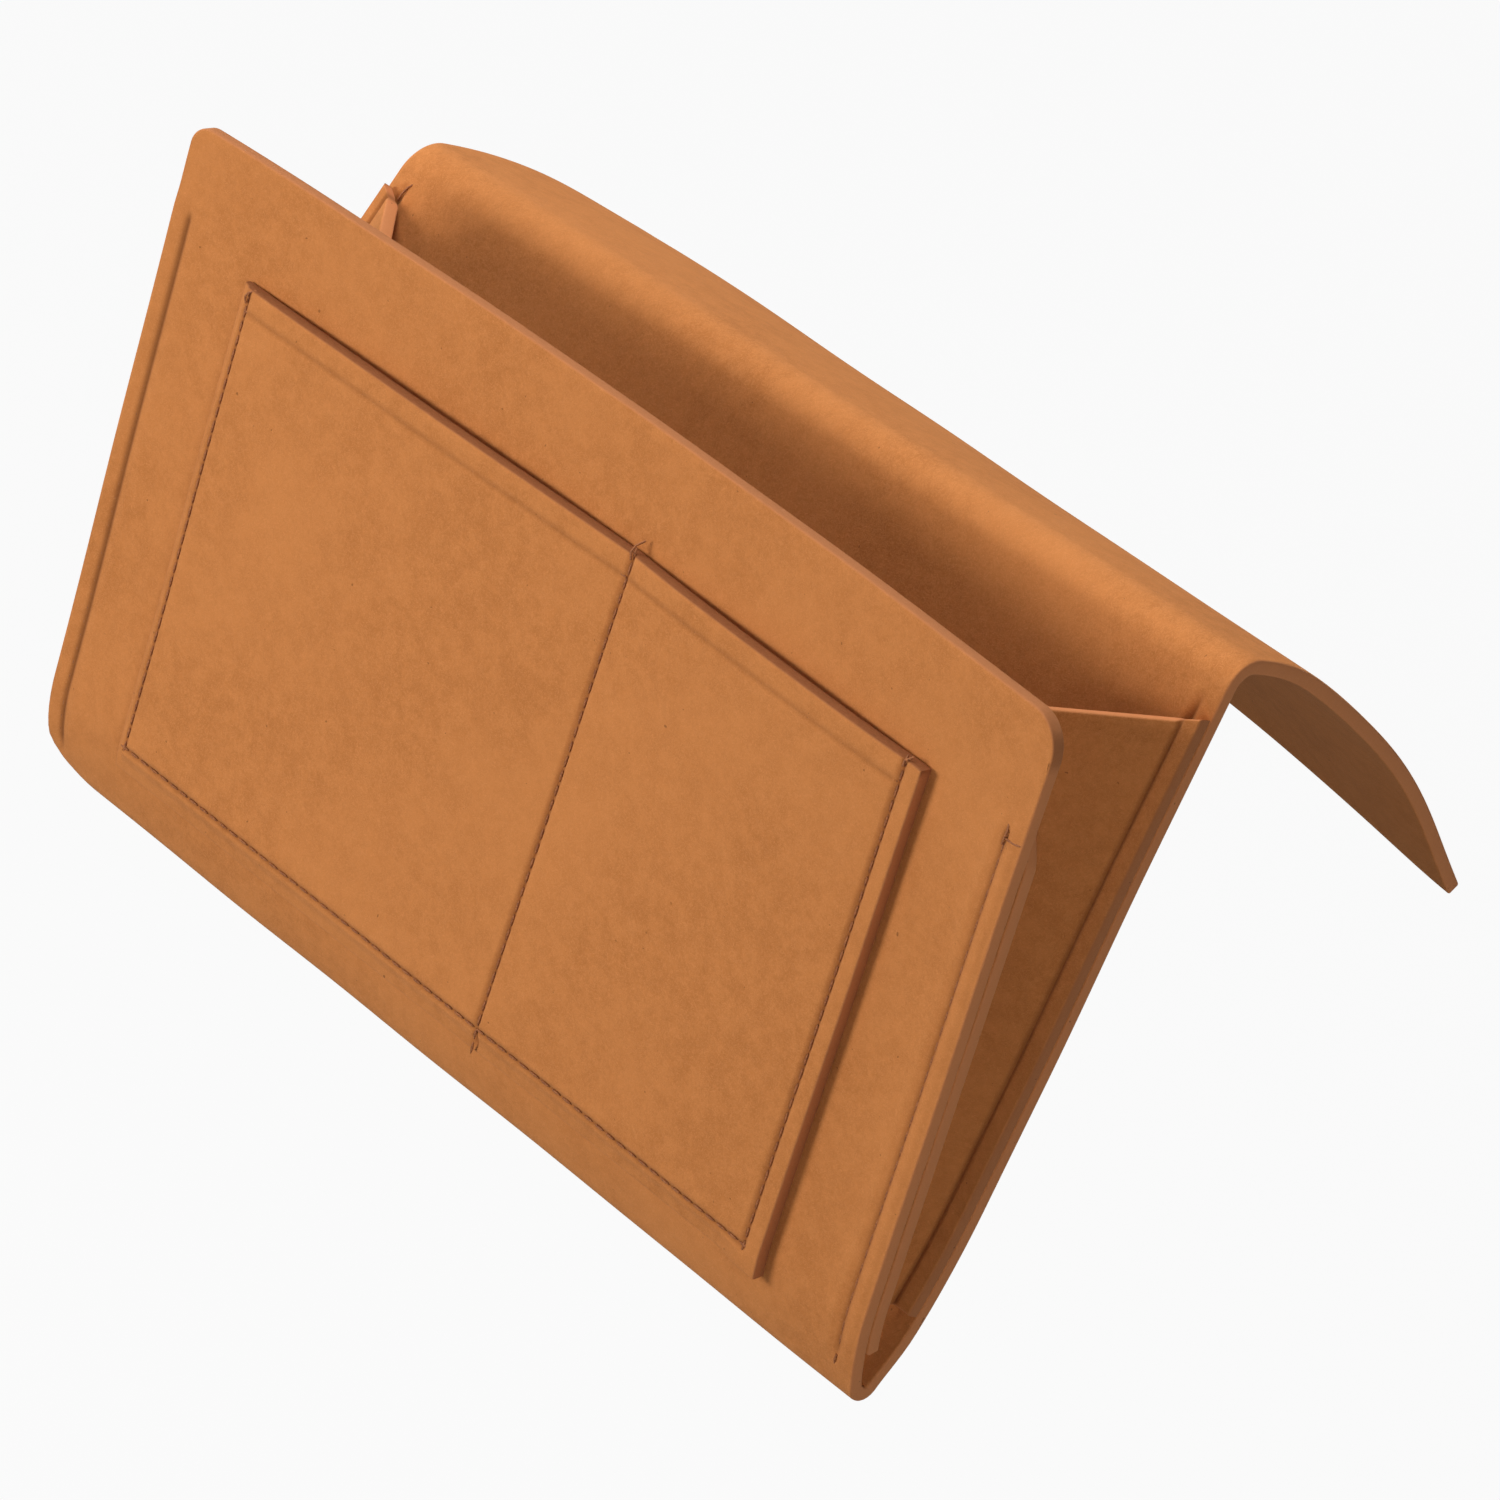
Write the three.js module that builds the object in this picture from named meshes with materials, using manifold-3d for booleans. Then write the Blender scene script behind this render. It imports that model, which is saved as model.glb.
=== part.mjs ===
// A felt bedside caddy. One long strip of felt is folded into a front, a back and a flap that tucks
// under the mattress. A pleated gusset closes each side, and a patch pocket with two compartments
// is sewn to the front. Millimetres, +Z up, +X to the right as seen from the front, the bed on +Y.
import * as THREE from 'three';
import { mergeVertices } from 'three/addons/utils/BufferGeometryUtils.js';
import Module from 'manifold-3d';

const wasm = await Module();
wasm.setup();

// Felt
const feltThickness = 4;
const seamGap = 0.3; // between felt faces that lie on each other

// Fold at the bottom of the strip, measured along the middle of the felt
const stripWidth = 320;
const foldRadius = 2.5;
const foldBackTurn = 75;
const frontFoldRadius = 5;
const foldFrontTurn = 55;
const frontHeelLength = 24;
const backHeelLength = 52.5;

// Front, from the fold to its free top edge
const frontHeight = 192;
const frontLean = 11.9;
const frontBow = 8; // how far the middle of the top edge bends inwards
const frontCornerRadius = 10;

// Back. It lies flat low down, and its left side leans back to meet the skewed bend of the flap
const backStartShare = 0.9; // how far round the fold the back begins, clear of the front's half-round edge
const backFlatLength = 16.7;
const backBendLength = 45;
const leftBackLean = 16.5;
const rightBackUpper = 80.6;
const leftBackUpper = 66.8;

// Bend over the mattress edge, and the flap beyond it
const rightBendRadius = 6.5;
const leftBendRadius = 10.5;
const tuckLineShare = 0.5; // where the flap hinges, as a share of the bend
const shoulderLength = 26;
const rightShoulderTurn = 16;
const leftShoulderTurn = 5;
const rightFlapLength = 118;
const leftFlapLength = 128;
const rightFlapTurn = 20;
const leftFlapTurn = 21;

// Gussets. The flanges are sewn to the inner faces of the front and the back
const flangeWidth = 6;
const gussetFrontTopDrop = 30; // below the top edge of the front
const gussetBackTopDrop = 8; // below the start of the bend
const gussetFrontBottom = 15;
const gussetBackBottom = 24;
const backFlangeFall = 2.8; // how far the top edge falls across the back flange
const pleatHeightShare = 0.945; // the top edge sags from both flanges to the pleat
const leafWidthTop = 48;
const leafWidthBottom = 9;
const pleatRadius = 2;
const seamEase = 2; // how far either side of a seam the leaf bends away from its flange

// Patch pocket on the front
const pocketLeftInset = 33;
const pocketWidth = 254;
const pocketBottom = 19.5; // above the fold, along the front
const pocketHeight = 142.5;
const pocketSeamInset = 5;
const pocketDividerInset = 139.5; // from the right edge of the strip
const pocketBulge = 7.2; // how far each compartment stands off at its mouth
const pocketBulgeRiseShare = 0.6;

// Mesh steps
const columnSteps = 18;
const flapColumnSteps = 12;
const compartmentSteps = 8;
const noseSteps = 6;
const pleatSteps = 6;
const cornerSteps = 8;

const feltMaterial = new THREE.MeshStandardMaterial({ color: 0xc47b45, roughness: 0.95, metalness: 0 });
const pocketMaterial = new THREE.MeshStandardMaterial({ color: 0xbf7742, roughness: 0.95, metalness: 0 });

const halfThickness = feltThickness / 2;
const halfWidth = stripWidth / 2;
const hingeClearance = halfThickness + seamGap; // from the flap's hinge line to the square end beside it
const facingOffset = feltThickness + seamGap; // between the middles of two sheets that are sewn together
const radians = THREE.MathUtils.degToRad;
const mix = THREE.MathUtils.lerp;

// The fold line is the lowest line of the strip's middle. It stands where the back's rear face is at y = 0.
const foldBackReach = foldRadius * Math.cos(radians(90 - foldBackTurn));
const heelTurn = radians(90 - foldBackTurn);
const heelReach = backHeelLength * Math.sin(heelTurn / 2) * Math.sin(heelTurn / 2) / (heelTurn / 2);
const foldLine = { y: -halfThickness - foldBackReach - heelReach, z: halfThickness };

// A profile is a list of stretches along the middle of the felt, each with a length and a turn.
// The heading is the angle from +Z towards +Y, and run is the length walked from the fold line.
function placeOnProfile(stretches, run) {
  let y = foldLine.y;
  let z = foldLine.z;
  let heading = Math.PI / 2;
  let left = run;
  for (const [index, stretch] of stretches.entries()) {
    const isLast = index === stretches.length - 1;
    const length = isLast ? left : Math.min(left, stretch.length);
    const turn = stretch.turn * length / stretch.length;
    const chord = turn === 0 ? length : 2 * (length / turn) * Math.sin(turn / 2);
    y += chord * Math.sin(heading + turn / 2);
    z += chord * Math.cos(heading + turn / 2);
    heading += turn;
    left -= length;
    if (left <= 0) break;
  }
  return { y, z, heading };
}

function backStretches(lean, upperLength, bendRadius, shoulderTurn, flapLength, flapTurn) {
  const bendTurn = radians(90 - lean);
  return [
    { name: 'fold', length: foldRadius * radians(foldBackTurn), turn: -radians(foldBackTurn) },
    { name: 'heel', length: backHeelLength, turn: -heelTurn },
    { name: 'flat', length: backFlatLength, turn: 0 },
    { name: 'lean', length: backBendLength, turn: radians(lean) },
    { name: 'upper', length: upperLength, turn: 0 },
    { name: 'bend', length: bendRadius * bendTurn, turn: bendTurn },
    { name: 'shoulder', length: shoulderLength, turn: radians(shoulderTurn) },
    { name: 'flap', length: flapLength, turn: radians(flapTurn) },
  ];
}

const rightEnd = backStretches(0, rightBackUpper, rightBendRadius, rightShoulderTurn, rightFlapLength, rightFlapTurn);
const leftEnd = backStretches(
  leftBackLean, leftBackUpper, leftBendRadius, leftShoulderTurn, leftFlapLength, leftFlapTurn,
);

// The run at which a named stretch begins, or a share of its length further on
function runTo(stretches, name, share = 0) {
  const index = stretches.findIndex((stretch) => stretch.name === name);
  const before = stretches.slice(0, index).reduce((sum, stretch) => sum + stretch.length, 0);
  return before + share * stretches[index].length;
}

// A station is one straight line across the strip, given by its run on the right and the left end
const station = (name, share = 0) => ({
  right: runTo(rightEnd, name, share),
  left: runTo(leftEnd, name, share),
});
const shifted = (place, run) => ({ right: place.right + run, left: place.left + run });
const tuckStation = station('bend', tuckLineShare);
const flapEndStation = station('flap', 1);

// A spot is a point on the middle of a sheet with the direction that its upper or inner face looks in
function backSpot(x, place) {
  const share = (halfWidth - x) / stripWidth;
  const right = placeOnProfile(rightEnd, place.right);
  const left = placeOnProfile(leftEnd, place.left);
  const heading = mix(right.heading, left.heading, share);
  return {
    point: new THREE.Vector3(x, mix(right.y, left.y, share), mix(right.z, left.z, share)),
    normal: new THREE.Vector3(0, -Math.cos(heading), Math.sin(heading)),
  };
}

// The front is walked the same way to the other side. Its lean eases towards the middle, which bows it.
function frontSpot(x, run) {
  const crown = 1 - (x / halfWidth) ** 2;
  const lean = radians(frontLean) - Math.atan(frontBow / frontHeight) * crown;
  const foldTurn = radians(foldFrontTurn);
  const stretches = [
    { length: frontFoldRadius * foldTurn, turn: -foldTurn },
    { length: frontHeelLength, turn: lean + foldTurn - Math.PI / 2 },
    { length: frontHeight, turn: 0 },
  ];
  const place = placeOnProfile(stretches, run);
  return {
    point: new THREE.Vector3(x, 2 * foldLine.y - place.y, place.z),
    normal: new THREE.Vector3(0, Math.cos(place.heading), Math.sin(place.heading)),
  };
}

const along = (spot, distance) => spot.point.clone().addScaledVector(spot.normal, distance);

// Solids
function solidFromGeometry(geometry) {
  geometry.deleteAttribute('normal');
  geometry.deleteAttribute('uv');
  const merged = mergeVertices(geometry);
  return new wasm.Manifold(new wasm.Mesh({
    numProp: 3,
    vertProperties: Float32Array.from(merged.attributes.position.array),
    triVerts: Uint32Array.from(merged.index.array),
  }));
}

function geometryFromSolid(solid) {
  const mesh = solid.getMesh();
  const geometry = new THREE.BufferGeometry();
  geometry.setAttribute('position', new THREE.BufferAttribute(Float32Array.from(mesh.vertProperties), 3));
  geometry.setIndex(new THREE.BufferAttribute(Uint32Array.from(mesh.triVerts), 1));
  const flat = geometry.toNonIndexed();
  flat.computeVertexNormals();
  return flat;
}

function signedVolume(points, faces) {
  const side = new THREE.Vector3();
  return faces.reduce((sum, [a, b, c]) => sum + points[a].dot(side.crossVectors(points[b], points[c])), 0);
}

// A felt sheet: every column is a row of spots, and both faces stand half a thickness off them.
// With rounded set, the first end of each column is a half-round nose about its first spot.
function feltSheet(columns, rounded = false) {
  const points = [];
  const loops = columns.map((column) => {
    const loop = [];
    const put = (point) => loop.push(points.push(point) - 1);
    column.forEach((spot) => put(along(spot, halfThickness)));
    column.toReversed().forEach((spot) => put(along(spot, -halfThickness)));
    if (rounded) {
      const [first, second] = column;
      const back = first.point.clone().sub(second.point);
      back.addScaledVector(first.normal, -back.dot(first.normal)).setX(0).normalize();
      for (let step = 1; step < noseSteps; step += 1) {
        const angle = Math.PI * step / noseSteps;
        const rim = first.point.clone().addScaledVector(first.normal, -halfThickness * Math.cos(angle));
        put(rim.addScaledVector(back, halfThickness * Math.sin(angle)));
      }
    }
    return loop;
  });
  const faces = [];
  const quad = (a, b, c, d) => faces.push([a, b, c], [a, c, d]);
  for (let c = 0; c + 1 < loops.length; c += 1) {
    loops[c].forEach((from, i) => {
      const next = (i + 1) % loops[c].length;
      quad(from, loops[c][next], loops[c + 1][next], loops[c + 1][i]);
    });
  }
  const rows = columns[0].length;
  const cap = (loop, flip) => {
    const start = faces.length;
    for (let i = 0; i + 1 < rows; i += 1) {
      quad(loop[i], loop[2 * rows - 1 - i], loop[2 * rows - 2 - i], loop[i + 1]);
    }
    for (let i = 2 * rows - 1; i + 1 < loop.length; i += 1) faces.push([loop[0], loop[i + 1], loop[i]]);
    if (flip) faces.slice(start).forEach((face) => face.reverse());
  };
  cap(loops[0], false);
  cap(loops.at(-1), true);
  if (signedVolume(points, faces) < 0) faces.forEach((face) => face.reverse());
  const geometry = new THREE.BufferGeometry();
  geometry.setFromPoints(points);
  geometry.setIndex(faces.flat());
  return solidFromGeometry(geometry);
}

function spread(from, to, steps) {
  return Array.from({ length: steps + 1 }, (_, i) => mix(from, to, i / steps));
}

// Stations of the strip between two places, closer together where a stretch turns
const stretchSteps = { fold: 5, heel: 5, flat: 2, lean: 6, upper: 5, bend: 10, shoulder: 5, flap: 10 };
function stationsBetween(from, to) {
  const inside = Object.entries(stretchSteps)
    .flatMap(([name, steps]) => spread(0, 1, steps).slice(1).map((share) => station(name, share)))
    .filter((place) => place.right > from.right + seamGap && place.right < to.right - seamGap);
  return [from, ...inside, to];
}

function backPanel() {
  const start = station('fold', backStartShare);
  const end = shifted(tuckStation, -hingeClearance);
  const places = stationsBetween(start, end);
  const columns = spread(-halfWidth, halfWidth, columnSteps).map((x) => places.map((place) => backSpot(x, place)));
  return feltSheet(columns);
}

function tuckFlap() {
  const places = stationsBetween(tuckStation, flapEndStation);
  const columns = spread(-halfWidth, halfWidth, flapColumnSteps).map((x) => places.map((place) => backSpot(x, place)));
  return feltSheet(columns, true);
}

// What a rounded corner takes off: the corner's square less the quarter disc
function cornerOffcut(side) {
  const inner = halfWidth - frontCornerRadius;
  const over = feltThickness;
  const shape = new THREE.Shape();
  shape.moveTo(side * (halfWidth + over), frontHeight - frontCornerRadius);
  shape.lineTo(side * (halfWidth + over), frontHeight + over);
  shape.lineTo(side * inner, frontHeight + over);
  for (let step = 0; step <= cornerSteps; step += 1) {
    const angle = Math.PI / 2 * (1 - step / cornerSteps);
    const across = inner + frontCornerRadius * Math.cos(angle);
    shape.lineTo(side * across, frontHeight - frontCornerRadius * (1 - Math.sin(angle)));
  }
  const depth = frontBow + frontHeight * Math.sin(radians(frontLean));
  const geometry = new THREE.ExtrudeGeometry(shape, { depth: 2 * depth, bevelEnabled: false });
  // stood up along the edge of the front, with its height counted from the fold as the front's is
  const top = frontSpot(side * halfWidth, frontHeight);
  const up = new THREE.Vector3(0, -top.normal.z, top.normal.y);
  const outward = top.normal.clone().negate();
  const place = new THREE.Matrix4().makeBasis(new THREE.Vector3(1, 0, 0), up, outward);
  geometry.translate(0, -frontHeight, -depth);
  geometry.applyMatrix4(place);
  geometry.translate(0, top.point.y, top.point.z);
  return solidFromGeometry(geometry);
}

function frontPanel() {
  const foldLength = frontFoldRadius * radians(foldFrontTurn);
  const heelEnd = foldLength + frontHeelLength;
  const runs = [
    ...spread(0, foldLength, 5),
    ...spread(foldLength, heelEnd, 5).slice(1),
    ...spread(heelEnd, frontHeight, 6).slice(1),
  ];
  const columns = spread(-halfWidth, halfWidth, columnSteps).map((x) => runs.map((run) => frontSpot(x, run)));
  return feltSheet(columns, true).subtract(cornerOffcut(1)).subtract(cornerOffcut(-1));
}

// The pocket is sewn down along its sides, its foot and a divider, and stands open between them
const pocketLeft = -halfWidth + pocketLeftInset;
const pocketRight = pocketLeft + pocketWidth;
const pocketSeams = [pocketLeft + pocketSeamInset, halfWidth - pocketDividerInset, pocketRight - pocketSeamInset];

function pocketStandOff(x, run) {
  const index = pocketSeams.findIndex((seam, i) => x >= seam && x <= pocketSeams[i + 1]);
  const foot = pocketBottom + pocketSeamInset;
  if (index < 0 || run <= foot) return facingOffset;
  const middle = (pocketSeams[index] + pocketSeams[index + 1]) / 2;
  const across = (x - middle) / (pocketSeams[index + 1] - middle);
  const height = (run - foot) / (pocketBottom + pocketHeight - foot);
  return facingOffset + pocketBulge * (1 - across ** 2) * height ** pocketBulgeRiseShare;
}

function pocketPanel() {
  const xs = [
    pocketLeft,
    ...spread(pocketSeams[0], pocketSeams[1], compartmentSteps),
    ...spread(pocketSeams[1], pocketSeams[2], compartmentSteps).slice(1),
    pocketRight,
  ];
  const foot = pocketBottom + pocketSeamInset;
  const runs = [pocketBottom, ...spread(foot, pocketBottom + pocketHeight, 10)];
  const columns = xs.map((x) => runs.map((run) => {
    const spot = frontSpot(x, run);
    return { point: along(spot, -pocketStandOff(x, run)), normal: spot.normal };
  }));
  return feltSheet(columns);
}

// A corner of a folded sheet, eased from one leg to the other
function easedCorner(before, corner, after) {
  const reach = Math.min(seamEase, corner.distanceTo(before) / 2, corner.distanceTo(after) / 2);
  const start = corner.clone().add(before.clone().sub(corner).setLength(reach));
  const end = corner.clone().add(after.clone().sub(corner).setLength(reach));
  return new THREE.QuadraticBezierCurve3(start, corner, end).getPoints(3);
}

// The round of the pleat, between two leaves that run tangent to it from the flanges
function pleatArc(frontSeam, backSeam, inward, leafWidth) {
  const middle = frontSeam.clone().add(backSeam).multiplyScalar(0.5);
  const across = frontSeam.clone().sub(backSeam);
  const halfOpening = across.length() / 2;
  across.normalize();
  const reach = Math.sqrt(Math.max(leafWidth ** 2 - halfOpening ** 2, 0)) - pleatRadius;
  const tilt = Math.asin(pleatRadius / Math.hypot(reach, halfOpening)) - Math.atan2(halfOpening, reach);
  const centre = middle.addScaledVector(inward, reach);
  return spread(Math.PI / 2 + tilt, -Math.PI / 2 - tilt, pleatSteps).map((angle) => (
    centre.clone()
      .addScaledVector(inward, pleatRadius * Math.cos(angle))
      .addScaledVector(across, pleatRadius * Math.sin(angle))
  ));
}

// Spots on the faces that a gusset is sewn to, at a share of its height and a place across the strip
function facingSpots(side, x, share, backFall = 0) {
  const end = side > 0 ? rightEnd : leftEnd;
  const frontRun = mix(gussetFrontBottom, frontHeight - gussetFrontTopDrop, share);
  const backRun = mix(gussetBackBottom, runTo(end, 'bend') - gussetBackTopDrop, share) - backFall;
  return {
    front: along(frontSpot(x, frontRun), facingOffset),
    back: along(backSpot(x, stationAt(end, backRun)), facingOffset),
  };
}

// One line across a gusset: front flange, front leaf, pleat, back leaf, back flange
function gussetLine(side, share) {
  const seamPlace = side * (halfWidth - flangeWidth);
  const edges = facingSpots(side, side * halfWidth, share);
  const seams = facingSpots(side, seamPlace, share, share * backFlangeFall);
  const beside = facingSpots(side, seamPlace, share * pleatHeightShare);
  const inward = new THREE.Vector3(-side, 0, 0);
  const pleat = pleatArc(beside.front, beside.back, inward, mix(leafWidthBottom, leafWidthTop, share));
  return [
    edges.front,
    ...easedCorner(edges.front, seams.front, pleat[0]),
    ...pleat,
    ...easedCorner(pleat.at(-1), seams.back, edges.back),
    edges.back,
  ];
}

// The station that has the given run at one end of the strip
function stationAt(end, run) {
  const stretch = end.findLast(({ name }) => run >= runTo(end, name));
  return station(stretch.name, (run - runTo(end, stretch.name)) / stretch.length);
}

function gusset(side) {
  const lines = spread(0, 1, 12).map((share) => gussetLine(side, share));
  const tangent = (points, i) => points[Math.min(i + 1, points.length - 1)].clone().sub(points[Math.max(i - 1, 0)]);
  const columns = lines.map((line, row) => line.map((point, i) => {
    const rise = tangent(lines.map((other) => other[i]), row);
    const normal = tangent(line, i).cross(rise);
    if (i === 0 || i === line.length - 1) normal.setX(0);
    return { point, normal: normal.normalize() };
  }));
  return feltSheet(columns);
}

function feltMesh(name, solid, material = feltMaterial) {
  const mesh = new THREE.Mesh(geometryFromSolid(solid), material);
  mesh.name = name;
  return mesh;
}

const front = new THREE.Group();
front.add(feltMesh('front_panel', frontPanel()), feltMesh('pocket_panel', pocketPanel(), pocketMaterial));

const back = new THREE.Group();
back.add(feltMesh('back_panel', backPanel()), feltMesh('right_gusset', gusset(1)), feltMesh('left_gusset', gusset(-1)));

const flap = new THREE.Group();
flap.add(feltMesh('tuck_flap', tuckFlap()));

// The origin is the middle of the line that the flap hinges on, which lies over the mattress edge
const tuckMiddle = backSpot(0, tuckStation).point;
const caddy = new THREE.Group();
caddy.add(front, back, flap);
caddy.position.set(0, -tuckMiddle.y, -tuckMiddle.z);

export default caddy;
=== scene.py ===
import math

import bmesh
import bpy
import numpy as np
from mathutils import Matrix, Vector


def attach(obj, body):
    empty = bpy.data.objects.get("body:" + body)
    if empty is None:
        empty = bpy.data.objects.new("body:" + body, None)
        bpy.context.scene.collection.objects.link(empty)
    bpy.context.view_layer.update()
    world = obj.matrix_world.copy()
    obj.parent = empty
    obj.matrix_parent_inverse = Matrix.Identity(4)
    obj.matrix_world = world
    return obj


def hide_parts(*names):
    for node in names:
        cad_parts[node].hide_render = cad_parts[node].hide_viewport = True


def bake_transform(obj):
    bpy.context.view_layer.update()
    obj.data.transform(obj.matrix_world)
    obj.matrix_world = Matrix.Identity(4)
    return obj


# A felt bedside caddy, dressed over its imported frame, in metres. +Z is up, the bed is on +Y, and +X is right
# as seen from the front. The strip is walked along the middle of its felt: a run is the distance from the
# fold at the bottom, counted upwards along the back and over to the flap, and negative up the front.

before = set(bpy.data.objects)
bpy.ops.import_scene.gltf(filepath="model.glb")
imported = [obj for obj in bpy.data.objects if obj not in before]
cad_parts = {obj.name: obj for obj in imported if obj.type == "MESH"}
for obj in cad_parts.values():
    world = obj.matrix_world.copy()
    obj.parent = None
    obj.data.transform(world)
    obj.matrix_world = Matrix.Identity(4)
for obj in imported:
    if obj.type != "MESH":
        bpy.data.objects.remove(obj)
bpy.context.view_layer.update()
print("frame loaded")

camera = {"place": (0.93568, -1.26482, 0.36554), "lens": 154.28, "sensor": 36,
          "right": (0.66907, 0.62321, 0.40491), "down": (0.48943, 0.04053, -0.87110),
          "ahead": (-0.55929, 0.78100, -0.27790)}


def addCamera():
    data = bpy.data.cameras.new("camera")
    data.lens, data.sensor_width = camera["lens"], camera["sensor"]
    eye = bpy.data.objects.new("camera", data)
    bpy.context.collection.objects.link(eye)
    turn = Matrix((Vector(camera["right"]), -Vector(camera["down"]), -Vector(camera["ahead"]))).transposed()
    eye.matrix_world = Matrix.Translation(camera["place"]) @ turn.to_4x4()
    bpy.context.scene.camera = eye


addCamera()
print("camera placed")


# Shader maths: a Level wraps one socket, and sums on it add Math nodes
class Level:
    def __init__(self, paint, socket):
        self.paint, self.socket = paint, socket

    def maths(self, operation, other, swap=False):
        first, second = (other, self) if swap else (self, other)
        return self.paint.level("ShaderNodeMath", {"operation": operation}, {0: first, 1: second})

    def __add__(self, other):
        return self.maths("ADD", other)

    def __radd__(self, other):
        return self.maths("ADD", other, True)

    def __sub__(self, other):
        return self.maths("SUBTRACT", other)

    def __rsub__(self, other):
        return self.maths("SUBTRACT", other, True)

    def __mul__(self, other):
        return self.maths("MULTIPLY", other)

    def __rmul__(self, other):
        return self.maths("MULTIPLY", other, True)


class Paint:
    def __init__(self, name):
        self.material = bpy.data.materials.new(name)
        self.material.use_nodes = True
        self.tree = self.material.node_tree
        self.tree.nodes.clear()

    def node(self, kind, settings=None, inputs=None):
        made = self.tree.nodes.new(kind)
        for key, value in (settings or {}).items():
            setattr(made, key, value)
        for key, value in (inputs or {}).items():
            if isinstance(value, Level):
                value = value.socket
            if isinstance(value, bpy.types.NodeSocket):
                self.tree.links.new(value, made.inputs[key])
            else:
                made.inputs[key].default_value = value
        return made

    def level(self, kind, settings=None, inputs=None, output=0):
        return Level(self, self.node(kind, settings, inputs).outputs[output])

    def attribute(self, name, output):
        return self.level("ShaderNodeAttribute", {"attribute_name": name}, output=output)

    def mix(self, share, first, second):
        return self.level("ShaderNodeMix", {"data_type": "RGBA"}, {0: share, 6: first, 7: second}, 2)

    def between(self, value, low, high):
        settings = {"clamp": True, "interpolation_type": "SMOOTHSTEP"}
        return self.level("ShaderNodeMapRange", settings, {0: value, 1: low, 2: high})


def rgb(red, green, blue):
    # a colour as it is read off a screen, made linear
    shares = [level / 255 for level in (red, green, blue)]
    linear = [share / 12.92 if share < 0.04045 else ((share + 0.055) / 1.055) ** 2.4 for share in shares]
    return (*linear, 1)


# The sixth colour, a dark brown, is painted shade, laid into seam grooves and onto shaded cut edges and top
# edges
feltLook = {"body": rgb(203, 129, 70), "pale": rgb(226, 153, 93), "deep": rgb(166, 99, 46),
            "fleck": rgb(92, 50, 20), "edge": rgb(212, 137, 88), "paintedShade": rgb(92, 46, 15),
            "sheen": rgb(240, 190, 140), "sheenWeight": 0.2, "sheenRoughness": 0.45, "specular": 0.2,
            "roughness": 0.93, "relief": 0.35, "reliefDepth": 0.0006,
            "midTones": (0.3, 0.7), "cloudTones": (0.35, 0.7), "fleckTones": (0.775, 0.80),
            "fibreTones": (0, 0.045), "noiseRoughness": 0.6}
# Noise of the felt: how fine it is, its detail, and how much it curls
feltNoise = {"clouds": (16, 2, 0), "mottle": (230, 3, 0), "grain": (900, 3, 0),
             "fibres": (620, 2, 2.2), "flecks": (480, 1, 0)}
# How much of its colour each mark of the felt adds; the painted shade's share grows with the grain
feltShare = {"mottle": 0.55, "grain": 0.3, "leastCloud": 0.35, "clouds": 0.35, "fibres": 0.34, "edge": 0.8,
             "paintedShade": 0.62, "paintedShadeGrain": 0.25, "flecks": 0.55}
# How much of the relief each mark makes
feltHeight = {"grain": 0.5, "fibres": 0.35, "mottle": 0.6}


def feltMaterial():
    look, share = feltLook, feltShare
    paint = Paint("pressed felt")
    place = paint.attribute("feltPoint", "Vector")

    def noise(mark):
        scale, detail, curl = feltNoise[mark]
        return paint.level("ShaderNodeTexNoise", None, {
            "Vector": place, "Scale": scale, "Detail": detail, "Roughness": look["noiseRoughness"],
            "Distortion": curl})

    mottle, grain = noise("mottle"), noise("grain")
    ridge = paint.level("ShaderNodeMath", {"operation": "ABSOLUTE"}, {0: noise("fibres") - 0.5})
    fibres = 1 - paint.between(ridge, *look["fibreTones"])
    flecks = paint.between(noise("flecks"), *look["fleckTones"])
    clouds = paint.between(noise("clouds"), *look["cloudTones"])
    edge, paintedShade = paint.attribute("cutEdge", "Fac"), paint.attribute("paintedShade", "Fac")
    mottled = paint.between(mottle, *look["midTones"]) * share["mottle"]
    tone = mottled + paint.between(grain, *look["midTones"]) * share["grain"]
    colour = paint.mix(tone, look["deep"], look["body"])
    colour = paint.mix(clouds * share["clouds"] + share["leastCloud"], colour, look["body"])
    colour = paint.mix(fibres * share["fibres"], colour, look["pale"])
    colour = paint.mix(edge * share["edge"], colour, look["edge"])
    # painted shade darkens the colour in the seam grooves, on shaded cut edges and on top edges
    colour = paint.mix(paintedShade * (share["paintedShade"] + grain * share["paintedShadeGrain"]), colour, look["paintedShade"])
    colour = paint.mix(flecks * share["flecks"], colour, look["fleck"])
    height = grain * feltHeight["grain"] + fibres * feltHeight["fibres"] + mottle * feltHeight["mottle"]
    bump = paint.node("ShaderNodeBump", None, {
        "Strength": look["relief"], "Distance": look["reliefDepth"], "Height": height})
    shader = paint.node("ShaderNodeBsdfPrincipled", None, {
        "Base Color": colour, "Roughness": look["roughness"], "Normal": bump.outputs[0],
        "Sheen Weight": look["sheenWeight"], "Sheen Roughness": look["sheenRoughness"],
        "Sheen Tint": look["sheen"], "Specular IOR Level": look["specular"]})
    paint.node("ShaderNodeOutputMaterial", None, {"Surface": shader.outputs[0]})
    return paint.material


threadLook = {"body": rgb(126, 70, 32), "pale": rgb(170, 106, 58), "tones": (0.35, 0.65),
              "twist": 2600, "twistDetail": 2, "roughness": 0.7, "relief": 0.4, "reliefDepth": 0.0002}


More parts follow.
